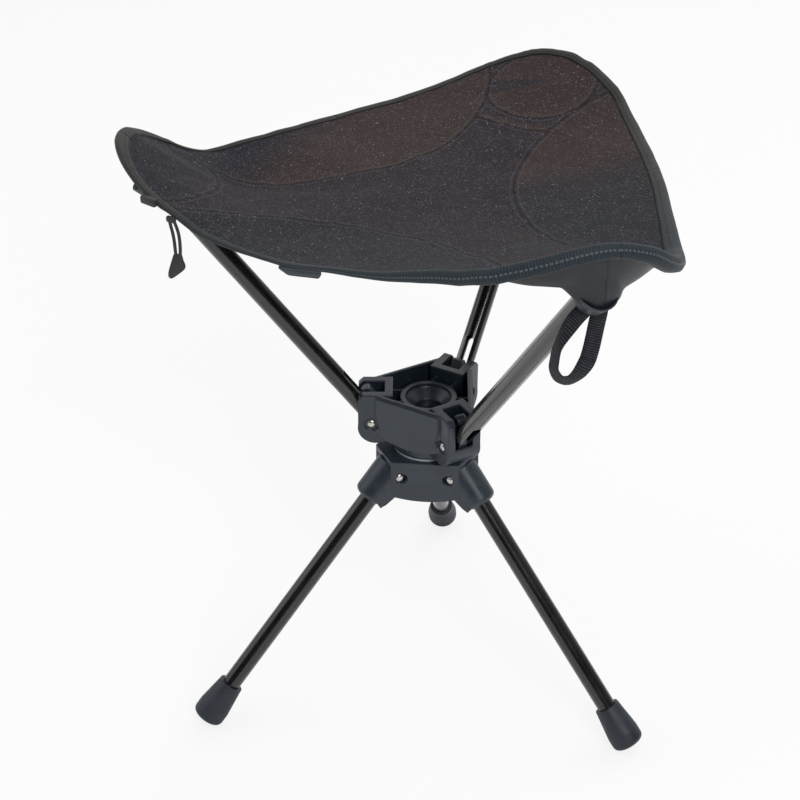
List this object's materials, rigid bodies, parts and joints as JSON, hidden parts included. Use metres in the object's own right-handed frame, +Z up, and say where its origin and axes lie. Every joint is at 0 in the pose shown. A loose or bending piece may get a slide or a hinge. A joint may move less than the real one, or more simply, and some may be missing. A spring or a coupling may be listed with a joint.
{
  "type": "folding tripod stool",
  "caption": "Folding camping stool: splayed tube legs and arms hinged to swivelling hubs, with a padded triangular cloth seat held in corner pockets",
  "frame": {"origin": "on the floor, at the middle of the outline seen from above", "axes": "+Z up; +Y towards the seat's rear corner; +X to the right of someone facing +Y"},
  "size_m": [0.4492, 0.4316, 0.5413],
  "materials": {
    "hub_plastic": "satin blue-black glass-filled nylon",
    "tube_paint": "gloss black powder coat",
    "foot_rubber": "matte black rubber",
    "cap_plastic": "black plastic",
    "pin_steel": "bright plated steel",
    "bolt_steel": "plated steel",
    "washer_plastic": "white low-friction plastic",
    "seat_cloth": "near-black coated weave",
    "binding_tape": "black woven tape",
    "webbing": "black ribbed webbing",
    "zip_cord": "thin black cord",
    "zip_metal": "black painted metal",
    "zip_tag": "black rubber"
  },
  "bodies": {
    "base": {"lower_hub": "hub_plastic", "thrust_washer": "washer_plastic", "lower_washer": "bolt_steel", "top_washer": "bolt_steel", "swivel_bolt": "bolt_steel", "lock_nut": "bolt_steel", "leg_pin_rear": "pin_steel", "leg_pin_right": "pin_steel", "leg_pin_left": "pin_steel"},
    "swivel": {"upper_hub": "hub_plastic", "seat_panel": "seat_cloth", "edge_binding": "binding_tape", "arm_pin_rear": "pin_steel", "arm_pin_right": "pin_steel", "arm_pin_left": "pin_steel"},
    "leg_rear": {"leg_tube_rear": "tube_paint", "foot_rear": "foot_rubber"},
    "leg_right": {"leg_tube_right": "tube_paint", "foot_right": "foot_rubber"},
    "leg_left": {"leg_tube_left": "tube_paint", "foot_left": "foot_rubber"},
    "arm_rear": {"arm_tube_rear": "tube_paint", "tip_cap_rear": "cap_plastic", "pocket_rear": "seat_cloth", "collar_rear": "webbing"},
    "arm_right": {"arm_tube_right": "tube_paint", "tip_cap_right": "cap_plastic", "pocket_right": "seat_cloth", "pull_loop": "webbing"},
    "arm_left": {"arm_tube_left": "tube_paint", "tip_cap_left": "cap_plastic", "pocket_left": "seat_cloth", "collar_left": "webbing", "zip_slider": "zip_metal", "zip_cord": "zip_cord", "zip_tag": "zip_tag"}
  },
  "joints": [
    {"name": "seat_swivel", "type": "hinge", "parent": "base", "child": "swivel", "pos_m": [0, -0.02946, 0.24], "axis": [0, 0, 1], "continuous": true},
    {"name": "leg_fold_rear", "type": "hinge", "parent": "base", "child": "leg_rear", "pos_m": [-0.01466, 0.00155, 0.22131], "axis": [-0.9041, -0.4274, 0], "range_deg": [0, 39]},
    {"name": "leg_fold_right", "type": "hinge", "parent": "base", "child": "leg_right", "pos_m": [0.03419, -0.03227, 0.22131], "axis": [0.0819, 0.9966, 0], "range_deg": [0, 39]},
    {"name": "leg_fold_left", "type": "hinge", "parent": "base", "child": "leg_left", "pos_m": [-0.01953, -0.05766, 0.22131], "axis": [0.8221, -0.5693, 0], "range_deg": [0, 39]},
    {"name": "arm_fold_rear", "type": "hinge", "parent": "swivel", "child": "arm_rear", "pos_m": [0, 0.01834, 0.26491], "axis": [1, 0, 0], "range_deg": [0, 37], "deforming": ["seat_panel", "edge_binding", "pocket_rear"]},
    {"name": "arm_fold_right", "type": "hinge", "parent": "swivel", "child": "arm_right", "pos_m": [0.0414, -0.05336, 0.26491], "axis": [-0.5, -0.866, 0], "range_deg": [0, 37], "deforming": ["seat_panel", "edge_binding", "pocket_right"]},
    {"name": "arm_fold_left", "type": "hinge", "parent": "swivel", "child": "arm_left", "pos_m": [-0.0414, -0.05336, 0.26491], "axis": [-0.5, 0.866, 0], "range_deg": [0, 37], "deforming": ["seat_panel", "edge_binding", "pocket_left"]}
  ]
}
